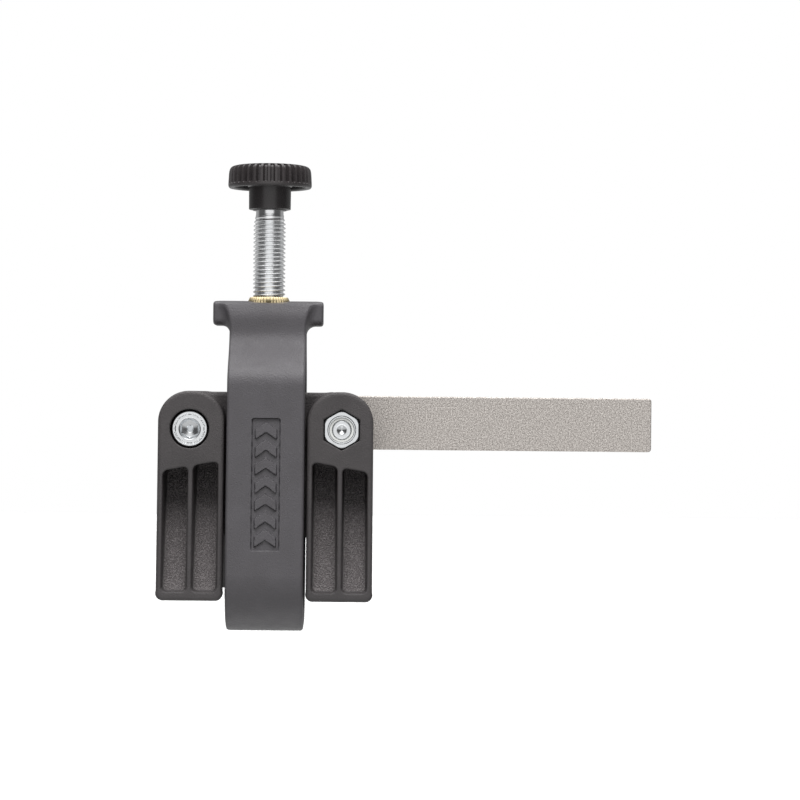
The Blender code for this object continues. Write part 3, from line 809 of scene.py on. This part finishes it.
def tongue_field(x, y, z):
    middle, half = (TONGUE_LEFT + TONGUE_RIGHT) / 2, (TONGUE_RIGHT - TONGUE_LEFT) / 2
    corner = np.where(x > middle, FREE_CORNER, HIDDEN_CORNER)
    outline = rounded_rectangle(x - middle, z, half, TONGUE_HALF_HEIGHT, corner)
    bar = meet(outline, np.abs(y) - TONGUE_HALF_THICKNESS, TONGUE_EDGE)
    return np.maximum(bar, BOLT_HOLE - length(np.abs(x) - BOLT_X, z - BOLT_Z))


tongue_piece = solid("steel_tongue", tongue_field, *TONGUE_BOX, TONGUE_CELL, TONGUE_SHARE)
finish_piece(tongue_piece, "tongue", "saddle", steel)


# ---------------------------------------------------------------- bolts, nuts and rings

HEAD_RADIUS = 4.25
HEAD_HEIGHT = 5.0
HEAD_RING, HEAD_RING_HALF, HEAD_RING_DEPTH = 3.5, 0.12, 0.06
SHANK_RADIUS = 2.3
SHANK_LENGTH = 30
DIMPLE, DIMPLE_SLOPE, DIMPLE_COSINE = 1.2, 1.6, 0.53
SOCKET = 4.1
SOCKET_DEPTH = 2.2
SOCKET_CONE = 0.45
FUNNEL, FUNNEL_COSINE = 2.6, 0.7
NUT = 8.15
NUT_CHAMFER_RADIUS = 4.3
NUT_SLOPE, NUT_COSINE = 0.577, 0.866
NUT_HEIGHT = 3.8
NUT_BORE = 2.5
COLLAR_RADIUS = 3.3
COLLAR_TOP = 5.0
RING_GROOVE = 2.95
RING_GROOVE_BOTTOM = 3.2
BOLT_BOX = ((-4.7, -4.7, SEAT - 30.6), (4.7, 4.7, SEAT + 5.6))
NUT_BOX = ((-5.2, -5.2, SEAT - 0.6), (5.2, 5.2, SEAT + 5.6))
BOLT_CELL, BOLT_SHARE = 0.16, 0.3
NUT_CELL, NUT_SHARE = 0.11, 0.35


def on_bolt_line(side, facing):
    """Moves a piece drawn along Z to the bolt line on a side, with its +Z to the front (1) or rear (-1)."""

    def turn(points):
        x, y, z = points.T
        return np.stack([x + side * BOLT_X, -facing * z, facing * y + BOLT_Z], axis=1)

    return turn


def bolt_field(x, y, z):
    """A socket bolt: a shallow ring round its head, a funnel over the socket, a dimple in the shank's end."""
    radius = length(x, y)
    head_top = SEAT + HEAD_HEIGHT
    head = meet(radius - HEAD_RADIUS, between(z, SEAT, head_top), 0.35)
    ring = np.maximum(np.abs(radius - HEAD_RING) - HEAD_RING_HALF, head_top - HEAD_RING_DEPTH - z)
    head = cut(head, ring, 0.05)
    shank_end = SEAT - SHANK_LENGTH
    shank = meet(radius - SHANK_RADIUS, between(z, shank_end, SEAT + 1), 0.4)
    dimple = (radius - DIMPLE + (z - shank_end) * DIMPLE_SLOPE) * DIMPLE_COSINE
    shank = cut(shank, dimple, 0.15)
    floor = head_top - SOCKET_DEPTH + SOCKET_CONE * radius - z
    socket = meet(hexagon(x, y, SOCKET), floor, 0.25)
    funnel = (radius - FUNNEL + (head_top - z)) * FUNNEL_COSINE
    return cut(cut(join(head, shank), socket, 0.1), funnel, 0.1)


def nut_field(x, y, z):
    """A hexagon chamfered at both ends, with a round collar that holds the nylon ring."""
    radius = length(x, y)
    hex_top = SEAT + NUT_HEIGHT
    chamfers = (np.maximum(z - hex_top, SEAT - z) + (radius - NUT_CHAMFER_RADIUS) * NUT_SLOPE) * NUT_COSINE
    body = meet(hexagon(x, y, NUT), between(z, SEAT, hex_top), 0.12)
    body = meet(body, chamfers, 0.1)
    collar = meet(radius - COLLAR_RADIUS, between(z, SEAT + 1, SEAT + COLLAR_TOP), 0.1)
    body = join(body, collar, 0.08)
    body = cut(body, radius - NUT_BORE, 0.1)
    return cut(body, meet(radius - RING_GROOVE, SEAT + RING_GROOVE_BOTTOM - z), 0.08)


RING_INSIDE, RING_OUTSIDE = 2.36, 2.93
RING_BOTTOM, RING_TOP = SEAT + 3.4, SEAT + 4.6
ring_outline = [
    (RING_INSIDE, RING_TOP),
    (RING_OUTSIDE, RING_TOP),
    (RING_OUTSIDE, RING_BOTTOM),
    (RING_INSIDE, RING_BOTTOM),
    (RING_INSIDE, RING_TOP - 0.1),
]
ring_profile = fillet(ring_outline, 0.15, 3)[:-1]
for side, facing, name in ((-1, 1, "left"), (1, -1, "right")):
    head_end, nut_end = on_bolt_line(side, facing), on_bolt_line(side, -facing)
    bolt_piece = solid(
        name + "_socket_bolt", bolt_field, *BOLT_BOX, BOLT_CELL, BOLT_SHARE, to_frame=head_end
    )
    finish_piece(bolt_piece, name + "_bolt", "saddle", zinc)
    nut_piece = solid(name + "_lock_nut", nut_field, *NUT_BOX, NUT_CELL, NUT_SHARE, to_frame=nut_end)
    finish_piece(nut_piece, name + "_nut", "saddle", zinc)
    ring_piece = lathe(name + "_locking_ring", ring_profile, 64, to_frame=nut_end, closed=True)
    finish_piece(ring_piece, name + "_nut_ring", "saddle", white_nylon)


# ---------------------------------------------------------------- floor, lights and camera

FLOOR_HALF, FLOOR_Z = 6, -0.32
floor_corners = [(x * FLOOR_HALF, y * FLOOR_HALF, FLOOR_Z) for x, y in ((-1, -1), (1, -1), (1, 1), (-1, 1))]
floor_mesh = make_mesh("floor", floor_corners, [(0, 1, 2, 3)])
floor_object = new_object("floor", floor_mesh)
floor_look, _, floor_shader = node_material("pale_floor")
floor_shader.inputs["Base Color"].default_value = (0.99, 0.99, 0.99, 1)
floor_shader.inputs["Roughness"].default_value = 0.9
floor_mesh.materials.append(floor_look)
floor_object.visible_diffuse = False
floor_object.visible_glossy = False

# axis, where the patch starts, where it is full, and its strength there
PATCHES = (
    ("Z", -2.0, -1.5, 0.08),
    ("Z", 0.0, -0.45, 0.5),
    ("Z", -0.8, -1.0, 0.8),
    ("Z", 0.5, 0.95, 1.5),
    ("Z", 0.75, 1.0, 2.0),
    ("Y", -0.72, -0.92, 0.76),
    ("Y", 0.0, 0.5, 0.25),
)

world = bpy.data.worlds.new("studio")
bpy.context.scene.world = world
world.use_nodes = True
sky = world.node_tree
direction = sky.nodes.new("ShaderNodeSeparateXYZ")
sky.links.new(sky.nodes.new("ShaderNodeTexCoord").outputs["Generated"], direction.inputs["Vector"])


def glow(axis, start, full, amount, before):
    """Adds a soft patch to the light so far: it rises along the axis of the direction, from start to full."""
    rise = sky.nodes.new("ShaderNodeMapRange")
    rise.interpolation_type = "SMOOTHSTEP"
    rise.inputs["From Min"].default_value = start
    rise.inputs["From Max"].default_value = full
    rise.inputs["To Max"].default_value = amount
    sky.links.new(direction.outputs[axis], rise.inputs["Value"])
    total = sky.nodes.new("ShaderNodeMath")
    total.operation = "ADD"
    total.inputs[1].default_value = 0.0
    sky.links.new(rise.outputs["Result"], total.inputs[0])
    if before is not None:
        sky.links.new(before, total.inputs[1])
    return total.outputs["Value"]


light = None
for axis, start, full, amount in PATCHES:
    light = glow(axis, start, full, amount, light)
surroundings = sky.nodes["Background"]
sky.links.new(light, surroundings.inputs["Strength"])
# the camera sees plain white behind the floor's edge
white = sky.nodes.new("ShaderNodeBackground")
for background in (surroundings, white):
    background.inputs["Color"].default_value = (1, 1, 1, 1)
seen = sky.nodes.new("ShaderNodeMixShader")
sky.links.new(sky.nodes.new("ShaderNodeLightPath").outputs["Is Camera Ray"], seen.inputs[0])
sky.links.new(surroundings.outputs[0], seen.inputs[1])
sky.links.new(white.outputs[0], seen.inputs[2])
sky.links.new(seen.outputs[0], sky.nodes["World Output"].inputs["Surface"])

# one wide lamp above the front; the patches above make the reflections, so it is kept out of them
LAMP_PLACE = Vector((-0.05, -0.50, 0.80))
LAMP_TARGET = Vector((-0.05, 0.0, 0.0))
lamp = bpy.data.lights.new("top_softbox", "AREA")
lamp.shape = "RECTANGLE"
lamp.size, lamp.size_y = 0.8, 0.5
lamp.energy = 9.0
top_softbox = new_object("top_softbox", lamp)
top_softbox.location = LAMP_PLACE
top_softbox.rotation_euler = (LAMP_TARGET - LAMP_PLACE).to_track_quat("-Z", "Y").to_euler()
top_softbox.visible_glossy = False

bpy.context.scene.view_settings.view_transform = "Standard"

CAMERA_PLACE = (16.5, -600.0, 7.0)
CAMERA_ROLL = 0.55
camera_data = bpy.data.cameras.new("camera")
camera_data.sensor_width = 36.0
camera_data.lens = 111.1
camera_data.shift_x = 0.08
camera_data.shift_y = -0.008
camera_data.clip_start = 0.01
camera = new_object("camera", camera_data)
camera.matrix_world = (
    Matrix.Translation(Vector(AXIS) + Vector(CAMERA_PLACE) * MM)
    @ Matrix.Rotation(math.radians(90), 4, "X")
    @ Matrix.Rotation(math.radians(CAMERA_ROLL), 4, "Z")
)
bpy.context.scene.camera = camera
